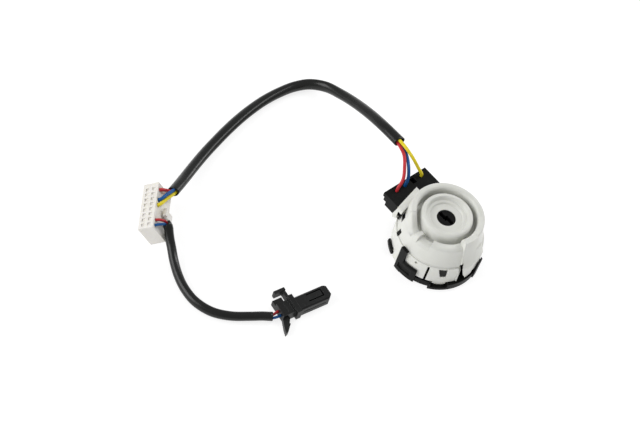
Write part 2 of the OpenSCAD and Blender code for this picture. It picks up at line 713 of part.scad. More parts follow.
// Two half slots set off from each other, so that the key tail fits one way round
module drive_slot() {
    slot_step = 0.45;
    slot_l = rotor_r - 0.5;
    for (s = [-1, 1])
        translate([s > 0 ? -slot_w / 2 : -slot_l, s * slot_step - slot_w / 2, rotor_top - slot_depth])
            cube([slot_l + slot_w / 2, slot_w, slot_depth + over]);
}

// Moving contact plate, driven by the square hub of the rotor
module contact_plate() {
    notch_r = 4;
    color(brass) {
        difference() {
            translate([0, 0, plate_z]) cylinder(r = plate_r, h = plate_t, $fn = round_fn);
            translate([-hub_w / 2 - seat_gap, -hub_w / 2 - seat_gap, plate_z - over])
                cube([hub_w + 2 * seat_gap, hub_w + 2 * seat_gap, plate_t + 2 * over]);
            for (a = contact_angles)
                rotate([0, 0, a + 60]) translate([plate_r + 0.6, 0, plate_z - over])
                    cylinder(r = notch_r, h = plate_t + 2 * over, $fn = small_fn);
        }
        for (a = contact_angles)
            rotate([0, 0, a]) translate([contact_r, 0, plate_z - dimple_h])
                cylinder(r = dimple_r, h = dimple_h + plate_t / 2, $fn = small_fn);
    }
}

// Compression springs between the plate and the carrier
module contact_springs() {
    mean_r = contact_spring_r - contact_wire / 2;
    low = plate_top + contact_wire / 2 + run_gap;
    high = pocket_z - contact_wire / 2 - run_gap;
    color(steel) for (a = contact_angles)
        rotate([0, 0, a]) translate([contact_r, 0, 0])
            tube(helix(mean_r, low, high, 4, 12), contact_wire / 2, 6);
}

// Balls that click into the detent notches
module detent_balls() {
    color(steel) for (half = [0, 180])
        rotate([0, 0, detent_angle + half]) translate([ball_at, 0, detent_z])
            sphere(r = ball_r, $fn = small_fn);
}

// Spring that pushes the two balls apart
module detent_spring() {
    mean_r = ball_r - detent_wire;
    reach = ball_at - ball_r * 0.8 - detent_wire;
    color(steel) translate([0, 0, detent_z]) rotate([0, 0, detent_angle]) rotate([0, 90, 0])
        tube(helix(mean_r, -reach, reach, 10, 10), detent_wire / 2, 6);
}

// Torsion spring that brings the rotor back from its last position
module return_spring() {
    coil = helix(return_r, return_z, return_top, return_turns, 20);
    low_leg = [for (s = [return_leg:-2:2]) [return_r, -s, return_z]];
    color(steel) tube(concat(low_leg, coil), return_wire / 2, 8);
}

// Frames of the connector and of the plug
module on_connector() {
    translate(conn_at) rotate([0, 0, conn_turn]) rotate([conn_roll, 0, 0]) children();
}
module on_plug() {
    translate(plug_at) rotate([0, 0, plug_turn]) children();
}

// Grooves of the wires between the connector housing and its cover
module wire_grooves() {
    for (w = wire_ways)
        translate([way_xs[w], wire_end_y, conn_h]) rotate([-90, 0, 0])
            cylinder(r = wire_hole_r, h = conn_w, $fn = small_fn);
    for (w = lead_ways)
        translate([way_xs[w], wire_end_y, conn_h]) rotate([-90, 0, 0])
            cylinder(r = lead_hole_r, h = conn_w, $fn = small_fn);
}

// Square ways of the connector, in two rows
module way_holes(width, z0, z1) {
    for (x = way_xs, y = row_ys)
        translate([x - width / 2, y - width / 2, z0]) cube([width, width, z1 - z0]);
}

// Room for the contacts where they come up to the wires
module contact_room(z0, z1) {
    for (w = concat(wire_ways, lead_ways))
        translate([way_xs[w] - cavity_w / 2, row_ys[1] - cavity_w / 2, z0])
            cube([cavity_w, cavity_w, z1 - z0]);
}

// Connector body with its ways and a locking lever below the wires
module connector_housing() {
    color(cream) on_connector() {
        difference() {
            translate([-conn_l / 2, 0, 0]) cube([conn_l, conn_w, conn_h]);
            way_holes(cavity_w, -over, conn_h - roof_t);
            contact_room(conn_h - 2 * roof_t, conn_h + over);
            wire_grooves();
        }
        // Locking lever on its foot, with a grip
        translate([lever_x, conn_w - over, 0]) cube([lever_w, lever_gap + over + lever_t / 2, lever_foot]);
        translate([lever_x, conn_w + lever_gap, 0]) cube([lever_w, lever_t, lever_h]);
        translate([lever_x, conn_w + lever_gap + lever_t / 2, lever_h - lever_foot])
            cube([lever_w, lever_t / 2 + lever_grip, lever_foot]);
    }
}

// Cover that presses the wires down on the contacts, with shallow marks over the ways
module connector_cover() {
    color(cream) on_connector() difference() {
        translate([-conn_l / 2, 0, conn_h]) cube([conn_l, conn_w, cover_t]);
        way_holes(cavity_w + seat_gap, conn_h + cover_t - cover_dip, conn_h + cover_t + over);
        contact_room(conn_h - over, conn_h + pin_rise + seat_gap);
        wire_grooves();
    }
}

// Contacts of the ways that have a wire
module connector_contacts() {
    color(brass) on_connector() for (w = concat(wire_ways, lead_ways))
        translate([way_xs[w] - pin_w / 2, row_ys[1] - pin_w / 2, pin_z])
            cube([pin_w, pin_w, conn_h + pin_rise - pin_z]);
}

// Nose of the plug, chamfered along its upper edges and at its front corners
module plug_nose() {
    intersection() {
        translate([-over, 0, 0]) rotate([90, 0, 90]) linear_extrude(nose_l + over)
            polygon([[nose_ys[0], 0], [nose_ys[1], 0], [nose_ys[1], plug_h - nose_edge],
                [nose_ys[1] - nose_edge, plug_h], [nose_ys[0] + nose_edge, plug_h],
                [nose_ys[0], plug_h - nose_edge]]);
        translate([0, 0, -over]) linear_extrude(plug_h + 2 * over)
            polygon([[-2 * over, nose_ys[0] - over], [nose_l - 2 * nose_edge - over, nose_ys[0] - over],
                [nose_l, nose_ys[0] + 2 * nose_edge], [nose_l, nose_ys[1] - 2 * nose_edge],
                [nose_l - 2 * nose_edge - over, nose_ys[1] + over], [-2 * over, nose_ys[1] + over]]);
    }
}

// Plug body: nose, collar, tail, side clip and fin
module plug_housing() {
    arm_y = collar_w / 2 + clip_arm[1] - clip_arm[0];
    color(black) on_plug() difference() {
        union() {
            plug_nose();
            translate([-collar_t, -collar_w / 2, 0]) cube([collar_t, collar_w, plug_h + collar_rise]);
            translate([plug_end, -tail_w / 2, 0]) cube([tail_l + over, tail_w, plug_h - collar_rise]);
            // Side clip, a block and an arm with a slot between them
            translate([plug_end, tail_w / 2 - over, 0]) cube(clip_block + [0, over, 0]);
            translate([-clip_arm[0] - edge, collar_w / 2 - over, 0])
                cube([clip_arm[0], clip_arm[1] - clip_arm[0] / 2 + over, clip_arm[2] - edge]);
            translate([-4 * clip_arm[0], arm_y, 0]) cube([3.8 * clip_arm[0], clip_arm[0], clip_arm[2]]);
            // Pointed fin at the back
            translate([plug_end, -tail_w / 2 + over, 0]) linear_extrude(clip_block[2] - edge)
                polygon(fin);
        }
        // Ways for the contacts and the wires
        for (s = [-1, 1]) {
            translate([plug_end + lead_seat, s * way_y - way_w / 2, way_z - way_w / 2])
                cube([nose_l + 2 * tail_l, way_w, way_w]);
            translate([plug_end - over, s * way_y, way_z]) rotate([0, 90, 0])
                cylinder(r = lead_hole_r, h = lead_seat + 2 * over, $fn = small_fn);
        }
        // Groove along each side of the nose
        for (y = nose_ys)
            translate([2 * over, y - edge, way_z]) cube([nose_l - 5 * over, 2 * edge, latch_w]);
        // Latch slots in the top of the nose
        for (s = [-1, 1])
            translate([latch_x[0], s * latch_y - latch_w / 2, plug_h - latch_d])
                cube([latch_x[1] - latch_x[0], latch_w, latch_d + over]);
        translate([latch_x[1] - latch_w, -latch_y - latch_w / 4, plug_h - latch_d])
            cube([1.4 * latch_w, 2 * latch_y + latch_w / 2, latch_d + over]);
        // Slot for the retainer
        translate([retainer_x[0] - seat_gap / 2, -retainer_w / 2 - seat_gap / 2, retainer_z - seat_gap / 2])
            cube([retainer_x[1] - retainer_x[0] + seat_gap, retainer_w + seat_gap, plug_h]);
    }
}

// Retainer that locks the contacts in the plug
module plug_retainer() {
    color(soft_black) on_plug()
        translate([retainer_x[0], -retainer_w / 2, retainer_z])
            cube([retainer_x[1] - retainer_x[0], retainer_w, plug_h - collar_rise - retainer_z]);
}

// Contacts of the plug
module plug_contacts() {
    color(brass) on_plug() for (s = [-1, 1])
        translate([plug_end + lead_seat, s * way_y - blade_w / 2, way_z - blade_w / 2])
            cube([nose_l - 2 - plug_end - lead_seat, blade_w, blade_w]);
}

// Wires from the block to the long sleeve
module switch_wire(i, route) {
    stops = [terminal_z, block_top, block_top + over];
    tube(concat([for (z = stops) [-hole_x, terminal_ys[i], z]], route), wire_r);
}
module wire_red_switch() color(red) switch_wire(0, red_switch_route);
module wire_blue_switch() color(blue) switch_wire(1, blue_switch_route);
module wire_yellow_switch() color(yellow) switch_wire(2, yellow_switch_route);

// Wires and leads that end in the connector, each pressed in its groove
module connector_wire(route, way, r) {
    stops = [conn_w + stub_l, wire_end_y];
    tube(concat(route, [for (y = stops) from_connector([way_xs[way], y, conn_h])]), r);
}
module wire_red_connector() color(red) connector_wire(red_connector_route, wire_ways[0], wire_r);
module wire_blue_connector() color(blue) connector_wire(blue_connector_route, wire_ways[1], wire_r);
module wire_yellow_connector() color(yellow) connector_wire(yellow_connector_route, wire_ways[2], wire_r);
module lead_red_connector() color(red) connector_wire(red_lead_route, lead_ways[0], lead_r);
module lead_blue_connector() color(blue) connector_wire(blue_lead_route, lead_ways[1], lead_r);

// Sleeves
module long_sleeve() color(soft_black) tube(long_sleeve_route, sleeve_d / 2, 10);
module short_sleeve() color(soft_black)
    tube(concat(short_sleeve_route, [from_plug([lead_fan[1], 0, way_z])]), lead_sleeve_d / 2, 10);

// Leads from the short sleeve into the plug
module plug_lead(s) {
    tube([from_plug([lead_fan[0], s * lead_side, way_z]), from_plug([lead_fan[1], s * lead_side, way_z]),
        from_plug([plug_end, s * way_y, way_z]),
        from_plug([plug_end + lead_seat, s * way_y, way_z])], lead_r);
}
module lead_red_plug() color(red) plug_lead(1);
module lead_blue_plug() color(blue) plug_lead(-1);

housing();
base();
terminal_block();
rotor();
contact_plate();
contact_springs();
detent_balls();
detent_spring();
return_spring();
contact_battery();
contact_accessory();
contact_ignition();
wire_red_switch();
wire_blue_switch();
wire_yellow_switch();
long_sleeve();
wire_red_connector();
wire_blue_connector();
wire_yellow_connector();
connector_housing();
connector_cover();
connector_contacts();
lead_red_connector();
lead_blue_connector();
short_sleeve();
lead_red_plug();
lead_blue_plug();
plug_housing();
plug_retainer();
plug_contacts();
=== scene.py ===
"""Looks of a vehicle's ignition switch and its wire harness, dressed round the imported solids."""

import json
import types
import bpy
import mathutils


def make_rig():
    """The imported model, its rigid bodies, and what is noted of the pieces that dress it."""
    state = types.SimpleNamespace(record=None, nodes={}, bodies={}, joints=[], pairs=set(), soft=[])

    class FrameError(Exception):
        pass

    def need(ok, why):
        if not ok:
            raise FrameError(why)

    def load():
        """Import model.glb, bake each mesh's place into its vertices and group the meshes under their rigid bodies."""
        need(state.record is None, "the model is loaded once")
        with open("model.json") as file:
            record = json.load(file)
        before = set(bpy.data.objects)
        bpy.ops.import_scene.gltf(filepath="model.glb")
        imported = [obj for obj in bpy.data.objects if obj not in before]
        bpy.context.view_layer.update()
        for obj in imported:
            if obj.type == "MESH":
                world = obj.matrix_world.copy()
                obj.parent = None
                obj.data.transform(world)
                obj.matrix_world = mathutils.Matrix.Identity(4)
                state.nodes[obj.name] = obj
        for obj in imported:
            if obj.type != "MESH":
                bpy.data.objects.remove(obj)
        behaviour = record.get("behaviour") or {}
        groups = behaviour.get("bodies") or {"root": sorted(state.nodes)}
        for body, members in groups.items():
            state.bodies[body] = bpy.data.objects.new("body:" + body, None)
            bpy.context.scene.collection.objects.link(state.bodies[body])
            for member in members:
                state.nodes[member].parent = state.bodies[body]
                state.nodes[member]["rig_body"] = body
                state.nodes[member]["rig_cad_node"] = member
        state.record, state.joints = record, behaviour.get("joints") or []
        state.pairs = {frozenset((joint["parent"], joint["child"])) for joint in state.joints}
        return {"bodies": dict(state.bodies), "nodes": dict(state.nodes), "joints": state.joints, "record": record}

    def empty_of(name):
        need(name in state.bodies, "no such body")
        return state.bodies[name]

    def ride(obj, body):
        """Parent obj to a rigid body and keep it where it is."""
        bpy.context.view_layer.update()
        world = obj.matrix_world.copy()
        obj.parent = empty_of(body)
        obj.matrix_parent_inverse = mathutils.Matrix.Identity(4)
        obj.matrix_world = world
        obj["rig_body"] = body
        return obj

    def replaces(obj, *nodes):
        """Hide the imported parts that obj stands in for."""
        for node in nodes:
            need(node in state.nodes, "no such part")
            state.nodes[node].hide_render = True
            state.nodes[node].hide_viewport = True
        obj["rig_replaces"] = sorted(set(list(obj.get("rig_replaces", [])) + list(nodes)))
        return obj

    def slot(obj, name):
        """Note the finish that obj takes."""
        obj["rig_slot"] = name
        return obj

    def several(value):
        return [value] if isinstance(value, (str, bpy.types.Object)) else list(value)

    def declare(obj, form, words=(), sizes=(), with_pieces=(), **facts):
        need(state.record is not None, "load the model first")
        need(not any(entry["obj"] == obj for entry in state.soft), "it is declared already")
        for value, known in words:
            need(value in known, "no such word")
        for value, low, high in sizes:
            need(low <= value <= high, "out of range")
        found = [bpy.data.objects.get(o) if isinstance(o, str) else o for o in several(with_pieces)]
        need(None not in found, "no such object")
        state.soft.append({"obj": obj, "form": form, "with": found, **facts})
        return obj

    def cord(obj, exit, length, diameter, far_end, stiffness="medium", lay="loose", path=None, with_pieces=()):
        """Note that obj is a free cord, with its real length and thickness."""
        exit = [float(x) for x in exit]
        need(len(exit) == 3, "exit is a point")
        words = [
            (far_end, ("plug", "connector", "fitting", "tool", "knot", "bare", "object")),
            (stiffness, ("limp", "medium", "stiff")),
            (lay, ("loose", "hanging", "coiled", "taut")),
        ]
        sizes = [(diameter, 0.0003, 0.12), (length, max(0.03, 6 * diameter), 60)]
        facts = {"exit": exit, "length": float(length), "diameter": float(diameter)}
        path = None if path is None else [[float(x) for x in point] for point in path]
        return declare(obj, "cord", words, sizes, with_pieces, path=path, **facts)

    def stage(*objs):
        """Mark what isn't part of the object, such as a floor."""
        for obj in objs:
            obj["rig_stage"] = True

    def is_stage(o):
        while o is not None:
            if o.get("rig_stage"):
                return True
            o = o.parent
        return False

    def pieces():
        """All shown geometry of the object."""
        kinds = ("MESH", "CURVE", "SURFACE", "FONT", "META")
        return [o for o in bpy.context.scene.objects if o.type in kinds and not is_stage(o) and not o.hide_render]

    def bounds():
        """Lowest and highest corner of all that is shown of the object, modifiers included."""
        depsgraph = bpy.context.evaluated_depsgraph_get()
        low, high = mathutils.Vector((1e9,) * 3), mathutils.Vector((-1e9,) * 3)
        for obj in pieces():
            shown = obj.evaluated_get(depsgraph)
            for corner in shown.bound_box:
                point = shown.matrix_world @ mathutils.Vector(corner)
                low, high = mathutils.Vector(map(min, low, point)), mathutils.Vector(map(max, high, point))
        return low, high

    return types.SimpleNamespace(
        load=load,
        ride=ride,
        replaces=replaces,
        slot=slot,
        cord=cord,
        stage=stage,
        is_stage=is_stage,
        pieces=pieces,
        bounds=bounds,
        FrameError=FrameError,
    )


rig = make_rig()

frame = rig.load()

import json
import logging
import math
from dataclasses import dataclass, field, replace
from enum import Enum
from functools import cache
from typing import Any, Sequence

import bpy
from mathutils import Matrix, Vector

CAD_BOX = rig.bounds()
MM = 0.001
LOG = logging.getLogger("ignition_switch")
Colour = tuple[float, float, float]
Place = tuple[float, float, float]
Pair = tuple[float, float]


class Body(Enum):
    """The rigid bodies that new pieces ride on."""

    FIXED = "body"


class Value:
    """A number from a shader socket, with arithmetic that adds Math nodes."""

    def __init__(self, graph: "Graph", socket: bpy.types.NodeSocket) -> None:
        """Keeps the socket and the graph that it belongs to."""
        self.graph = graph
        self.socket = socket

    def _maths(self, operation: str, first: Any, second: Any) -> "Value":
        """Adds one Math node.

        Args:
            operation: The node's operation.
            first: The first term, a number or a Value.
            second: The second term.

        Returns:
            The node's result.
        """
        node = self.graph.add("ShaderNodeMath", {"operation": operation}, {0: first, 1: second})
        return Value(self.graph, node.outputs[0])

    def __add__(self, other: Any) -> "Value":
        """Adds a number or a Value."""
        return self._maths("ADD", self, other)

    def __radd__(self, other: Any) -> "Value":
        """Adds this to a number."""
        return self._maths("ADD", other, self)

    def __sub__(self, other: Any) -> "Value":
        """Takes a number or a Value away."""
        return self._maths("SUBTRACT", self, other)

    def __rsub__(self, other: Any) -> "Value":
        """Takes this away from a number."""
        return self._maths("SUBTRACT", other, self)

    def __mul__(self, other: Any) -> "Value":
        """Multiplies by a number or a Value."""
        return self._maths("MULTIPLY", self, other)

    def __rmul__(self, other: Any) -> "Value":
        """Multiplies a number by this."""
        return self._maths("MULTIPLY", other, self)

    def between(self, low: float, high: float) -> "Value":
        """Spreads the range from low to high over 0 to 1, and clips it.

        Args:
            low: The value that gives 0.
            high: The value that gives 1.

        Returns:
            The clipped result.
        """
        sockets = {"Value": self, "From Min": low, "From Max": high}
        node = self.graph.add("ShaderNodeMapRange", {"clamp": True}, sockets)
        return Value(self.graph, node.outputs["Result"])

    def clipped(self) -> "Value":
        """Clips this to 0 to 1."""
        return self.between(0.0, 1.0)


class Graph:
    """The node tree of one material, with the few helpers that the finishes share."""

    BEVEL_SAMPLES = 6
    EDGE_REACH: Pair = (0.02, 0.22)

    def __init__(self, name: str) -> None:
        """Makes the material with a bare Principled shader.

        Args:
            name: The material's name.
        """
        self.material = bpy.data.materials.new(name)
        self.material.use_nodes = True
        self.tree = self.material.node_tree
        self.tree.nodes.clear()
        self.shader = self.add("ShaderNodeBsdfPrincipled")
        self.add("ShaderNodeOutputMaterial", None, {"Surface": self.shader.outputs["BSDF"]})
        self.place = self.add("ShaderNodeTexCoord").outputs["Object"]

    def add(
        self, kind: str, settings: dict[str, Any] | None = None, sockets: dict[Any, Any] | None = None
    ) -> bpy.types.Node:
        """Adds any node: its settings first, then the values or links of its sockets.

        Args:
            kind: The node's type.
            settings: Attributes of the node.
            sockets: Socket name or number to a plain value, a socket or a Value.

        Returns:
            The new node.
        """
        node = self.tree.nodes.new(kind)
        for key, setting in (settings or {}).items():
            setattr(node, key, setting)
        for key, given in (sockets or {}).items():
            self.put(node.inputs[key], given)
        return node

    def put(self, socket: bpy.types.NodeSocket, given: Any) -> None:
        """Sets or links one socket.

        Args:
            socket: The socket to fill.
            given: A plain value, a socket or a Value.
        """
        source = given.socket if isinstance(given, Value) else given
        if isinstance(source, bpy.types.NodeSocket):
            self.tree.links.new(source, socket)
        else:
            socket.default_value = source

    def feed(self, **sockets: Any) -> None:
        """Sets or links sockets of the Principled shader, with _ for a space in each name."""
        for key, given in sockets.items():
            self.put(self.shader.inputs[key.replace("_", " ")], given)

    def noise(
        self, size: float, detail: float, stretch: Place = (1.0, 1.0, 1.0), roughness: float = 0.55
    ) -> Value:
        """A noise pattern on the object's own coordinates.

        Args:
            size: The size of a fleck, in metres.
            detail: How many finer layers it has.
            stretch: How far the pattern is squeezed along each axis.
            roughness: How strong the finer layers are.

        Returns:
            The pattern, about 0.5 on average.
        """
        moved = self.add("ShaderNodeMapping", None, {"Vector": self.place, "Scale": stretch})
        node = self.add(
            "ShaderNodeTexNoise",
            None,
            {"Vector": moved.outputs[0], "Scale": 1.0 / size, "Detail": detail, "Roughness": roughness},
        )
        return Value(self, node.outputs["Fac"])

    def blend(self, factor: Any, first: Any, second: Any) -> bpy.types.NodeSocket:
        """Mixes two colours.

        Args:
            factor: 0 for the first and 1 for the second.
            first: A colour or a colour socket.
            second: A colour or a colour socket.

        Returns:
            The mixed colour.
        """
        ends = [(*c, 1.0) if isinstance(c, tuple) else c for c in (first, second)]
        node = self.add("ShaderNodeMix", {"data_type": "RGBA"}, {0: factor, 6: ends[0], 7: ends[1]})
        return node.outputs[2]

    def soft_edges(self, radius: float) -> bpy.types.NodeSocket:
        """Normals rounded over the moulded edges.

        Args:
            radius: The rounding, in metres.

        Returns:
            The normal.
        """
        node = self.add("ShaderNodeBevel", {"samples": self.BEVEL_SAMPLES}, {"Radius": radius})
        return node.outputs["Normal"]

    def edge_mask(self, rounded: bpy.types.NodeSocket) -> Value:
        """Where the rounded normal leaves the true one: the edges.

        Args:
            rounded: A normal from soft_edges.

        Returns:
            0 on flats, towards 1 on edges.
        """
        true = self.add("ShaderNodeNewGeometry").outputs["Normal"]
        dot = self.add("ShaderNodeVectorMath", {"operation": "DOT_PRODUCT"}, {0: rounded, 1: true})
        return (1.0 - Value(self, dot.outputs["Value"])).between(*self.EDGE_REACH)

    def relief(self, height: Value, depth: float, normal: bpy.types.NodeSocket | None = None) -> None:
        """Feeds a bump into the shader's normal.

        Args:
            height: The pattern.
            depth: The relief's depth, in metres.
            normal: A normal to start from.
        """
        sockets: dict[str, Any] = {"Height": height, "Distance": depth, "Strength": 1.0}
        if normal is not None:
            sockets["Normal"] = normal
        self.feed(Normal=self.add("ShaderNodeBump", None, sockets).outputs["Normal"])


@dataclass(frozen=True)
class MouldedPlastic:
    """An injection-moulded plastic with flow clouds, a fine eroded grain, and edges lightened by rubbed wear and a
    painted highlight.

    Sizes are in metres. A reach is the part of a pattern that is spread over 0 to 1, and a
    dulling is how much roughness a pattern adds to the dullness of the whole.
    """

    name: str
    colour: Colour
    cloud: Colour
    # Pale colour of the specks and of rubbed wear; along the edges it is also a painted highlight.
    pale_wear_and_highlight: Colour
    dullness: float
    milky: float = 0.0
    glow_depth: Place = (0.003, 0.003, 0.0026)
    shine: float = 0.45
    rounding: float = 0.00028
    edge_wear_and_highlight_share: float = 0.55
    cloud_size: float = 0.012
    cloud_stretch: Place = (1.0, 1.0, 0.6)
    cloud_reach: Pair = (0.32, 0.7)
    cloud_dulling: float = 0.08
    speck_size: float = 0.0011
    speck_reach: Pair = (0.55, 0.78)
    speck_share: float = 0.18
    grain_size: float = 0.00035
    grain_roughness: float = 0.62
    grain_depth: float = 0.00002
    grain_dulling: float = 0.14

    def material(self) -> bpy.types.Material:
        """Makes the material of this plastic.

        Returns:
            The material.
        """
        graph = Graph(self.name)
        rounded = graph.soft_edges(self.rounding)
        flow = graph.noise(self.cloud_size, detail=4.0, stretch=self.cloud_stretch).between(*self.cloud_reach)
        specks = graph.noise(self.speck_size, detail=2.0).between(*self.speck_reach)
        grain = graph.noise(self.grain_size, detail=3.0, roughness=self.grain_roughness)
        body = graph.blend(flow, self.colour, self.cloud)
        body = graph.blend(specks * self.speck_share, body, self.pale_wear_and_highlight)
        # Paints a highlight along the edges, with rubbed wear, in the pale colour.
        body = graph.blend(graph.edge_mask(rounded) * self.edge_wear_and_highlight_share, body, self.pale_wear_and_highlight)
        graph.feed(
            Base_Color=body,
            Roughness=(self.dullness + flow * self.cloud_dulling + grain * self.grain_dulling).clipped(),
            Specular_IOR_Level=self.shine,
            Subsurface_Weight=self.milky,
            Subsurface_Radius=self.glow_depth,
        )
        graph.relief(grain, self.grain_depth, rounded)
        return graph.material


@dataclass(frozen=True)
class Insulation:
    """Soft-gloss wire insulation with worn patches and fine pores."""

    name: str
    colour: Colour
    worn: Colour
    dullness: float = 0.33
    shine: float = 0.28
    patch_size: float = 0.004
    patch_reach: Pair = (0.35, 0.72)
    patch_dulling: float = 0.12
    pore_size: float = 0.0004
    pore_depth: float = 0.000012
    pore_dulling: float = 0.08

    def material(self) -> bpy.types.Material:
        """Makes the material of this insulation.

        Returns:
            The material.
        """
        graph = Graph(self.name)
        patches = graph.noise(self.patch_size, detail=4.0).between(*self.patch_reach)
        pores = graph.noise(self.pore_size, detail=2.0)
        graph.feed(
            Base_Color=graph.blend(patches, self.colour, self.worn),
            Roughness=(self.dullness + patches * self.patch_dulling + pores * self.pore_dulling).clipped(),
            Specular_IOR_Level=self.shine,
        )
        graph.relief(pores, self.pore_depth)
        return graph.material


@dataclass(frozen=True)
class SleeveTubing:
    """Black extruded tubing with a soft sheen, a faint ripple and dusty scuffs."""

    name: str
    colour: Colour
    scuff: Colour
    dullness: float = 0.24
    shine: float = 0.36
    scuff_size: float = 0.007
    scuff_roughness: float = 0.7
    scuff_reach: Pair = (0.48, 0.8)
    scuff_share: float = 0.7
    scuff_dulling: float = 0.08
    ripple_size: float = 0.0022
    ripple_share: float = 0.9
    pore_size: float = 0.0005
    pore_share: float = 0.1
    pore_dulling: float = 0.04
    depth: float = 0.00001

    def material(self) -> bpy.types.Material:
        """Makes the material of this tubing.

        Returns:
            The material.
        """
        graph = Graph(self.name)
        scuffs = graph.noise(self.scuff_size, detail=6.0, roughness=self.scuff_roughness)
        scuffs = scuffs.between(*self.scuff_reach)
        ripple = graph.noise(self.ripple_size, detail=3.0)
        pores = graph.noise(self.pore_size, detail=2.0)
        graph.feed(
            Base_Color=graph.blend(scuffs * self.scuff_share, self.colour, self.scuff),
            Roughness=(self.dullness + scuffs * self.scuff_dulling + pores * self.pore_dulling).clipped(),
            Specular_IOR_Level=self.shine,
        )
        graph.relief(ripple * self.ripple_share + pores * self.pore_share, self.depth)
        return graph.material


@dataclass(frozen=True)
class StampedMetal:
    """Bare metal with rolling lines and a little tarnish."""

    name: str
    colour: Colour
    tarnish: Colour
    dullness: float
    line_size: float = 0.002
    line_stretch: Place = (1.0, 14.0, 14.0)
    line_depth: float = 0.00001
    line_dulling: float = 0.16
    stain_size: float = 0.005
    stain_reach: Pair = (0.42, 0.75)
    stain_dulling: float = 0.14

    def material(self) -> bpy.types.Material:
        """Makes the material of this metal.

        Returns:
            The material.
        """
        graph = Graph(self.name)
        lines = graph.noise(self.line_size, detail=4.0, stretch=self.line_stretch)
        stain = graph.noise(self.stain_size, detail=4.0).between(*self.stain_reach)
        graph.feed(
            Base_Color=graph.blend(stain, self.colour, self.tarnish),
            Metallic=1.0,
            Roughness=(self.dullness + lines * self.line_dulling + stain * self.stain_dulling).clipped(),
        )
        graph.relief(lines, self.line_depth)
        return graph.material


class Finish(Enum):
    """The finishes of the part."""

    # Each finish's pale wear colour also paints a highlight along its edges; on BLACK and PLUG it is mostly painted
    # highlight.
    WHITE = MouldedPlastic(
        "white_nylon", colour=(0.71, 0.715, 0.675), cloud=(0.66, 0.665, 0.625), pale_wear_and_highlight=(0.78, 0.78, 0.75),
        dullness=0.36, milky=0.55)
    WHITE_THIN = replace(WHITE, name="white_nylon_thin", rounding=0.00003)
    BLACK = MouldedPlastic(
        "black_nylon", colour=(0.004, 0.0045, 0.004), cloud=(0.007, 0.0075, 0.007),
        pale_wear_and_highlight=(0.04, 0.041, 0.04), dullness=0.28, rounding=0.00036, shine=0.09)
    ROTOR = MouldedPlastic(
        "rotor_acetal", colour=(0.004, 0.004, 0.004), cloud=(0.007, 0.007, 0.007),
        pale_wear_and_highlight=(0.016, 0.016, 0.016), dullness=0.22, shine=0.1)
    PLUG = MouldedPlastic(
        "plug_nylon", colour=(0.0035, 0.004, 0.0038), cloud=(0.006, 0.0065, 0.0065),
        pale_wear_and_highlight=(0.06, 0.062, 0.062), dullness=0.3, rounding=0.0004, shine=0.26)
    CREAM = MouldedPlastic(
        "pale_nylon", colour=(0.79, 0.77, 0.735), cloud=(0.74, 0.715, 0.665), pale_wear_and_highlight=(0.85, 0.83, 0.80),
        dullness=0.3, milky=0.5)
    RED = Insulation("red_insulation", colour=(0.52, 0.03, 0.04), worn=(0.42, 0.022, 0.028))
    BLUE = Insulation("blue_insulation", colour=(0.002, 0.085, 0.29), worn=(0.002, 0.06, 0.21))
    YELLOW = Insulation("yellow_insulation", colour=(0.77, 0.64, 0.02), worn=(0.68, 0.54, 0.016))
    SLEEVE = SleeveTubing("black_tubing", colour=(0.005, 0.0055, 0.005), scuff=(0.014, 0.0145, 0.014))
    BRASS = StampedMetal(
        "stamped_brass", colour=(0.72, 0.52, 0.20), tarnish=(0.50, 0.34, 0.13), dullness=0.24)
    STEEL = StampedMetal(
        "spring_steel", colour=(0.60, 0.61, 0.63), tarnish=(0.42, 0.42, 0.43), dullness=0.22)

    @cache
    def material(self) -> bpy.types.Material:
        """Gives the material of this finish, made once."""
        return self.value.material()

    def on(self, *nodes: str) -> None:
        """Dresses CAD nodes in this finish.

        Args:
            nodes: The names of the nodes.
        """
        for name in nodes:
            slots = frame["nodes"][name].data.materials
            slots.clear()
            slots.append(self.material())
            LOG.info("dressed %s in %s", name, self.value.name)


def points(*rows: Sequence[float]) -> list[Vector]:
    """Turns millimetre rows into points in metres.

    Args:
        rows: The points, in millimetres.

    Returns:
        The points, in metres.
    """
    return [Vector(row) * MM for row in rows]


def smooth(stops: Sequence[Vector], step: float) -> list[Vector]:
    """Lays one smooth line through the stops.

    Args:
        stops: Points that the line passes through.
        step: About how far apart the new points are.

    Returns:
        The points of the line.
    """
    closest = 1e-9
    ends = [stops[0] * 2 - stops[1], *stops, stops[-1] * 2 - stops[-2]]
    line: list[Vector] = []
    for a, b, c, d in zip(ends, ends[1:], ends[2:], ends[3:]):
        gaps = [max((q - p).length, closest) ** 0.5 for p, q in ((a, b), (b, c), (c, d))]
        start = (b - a) / gaps[0] - (c - a) / (gaps[0] + gaps[1]) + (c - b) / gaps[1]
        stop = (c - b) / gaps[1] - (d - b) / (gaps[1] + gaps[2]) + (d - c) / gaps[2]
        count = max(1, round((c - b).length / step))
        for i in range(count):
            t = i / count
            line.append(
                b * (2 * t**3 - 3 * t**2 + 1)
                + start * gaps[1] * (t**3 - 2 * t**2 + t)
                + c * (3 * t**2 - 2 * t**3)
                + stop * gaps[1] * (t**3 - t**2)
            )
    return [*line, stops[-1]]


def length(line: Sequence[Vector]) -> float:
    """Measures a line of points.

    Args:
        line: The points.

    Returns:
        Its length.
    """
    return sum((q - p).length for p, q in zip(line, line[1:]))


def carried_frames(line: Sequence[Vector]) -> list[tuple[Vector, Vector]]:
    """Carries a frame along a line without twist.

    Args:
        line: The points.

    Returns:
        The side and up vectors at each point.
    """
    frames = []
    side = Vector((0, 0, 0))
    for i in range(len(line)):
        ahead = (line[min(i + 1, len(line) - 1)] - line[max(i - 1, 0)]).normalized()
        side = ahead.cross(Vector((0, 0, 1))) if i == 0 else side
        side = (side - ahead * side.dot(ahead)).normalized()
        frames.append((side, side.cross(ahead)))
    return frames


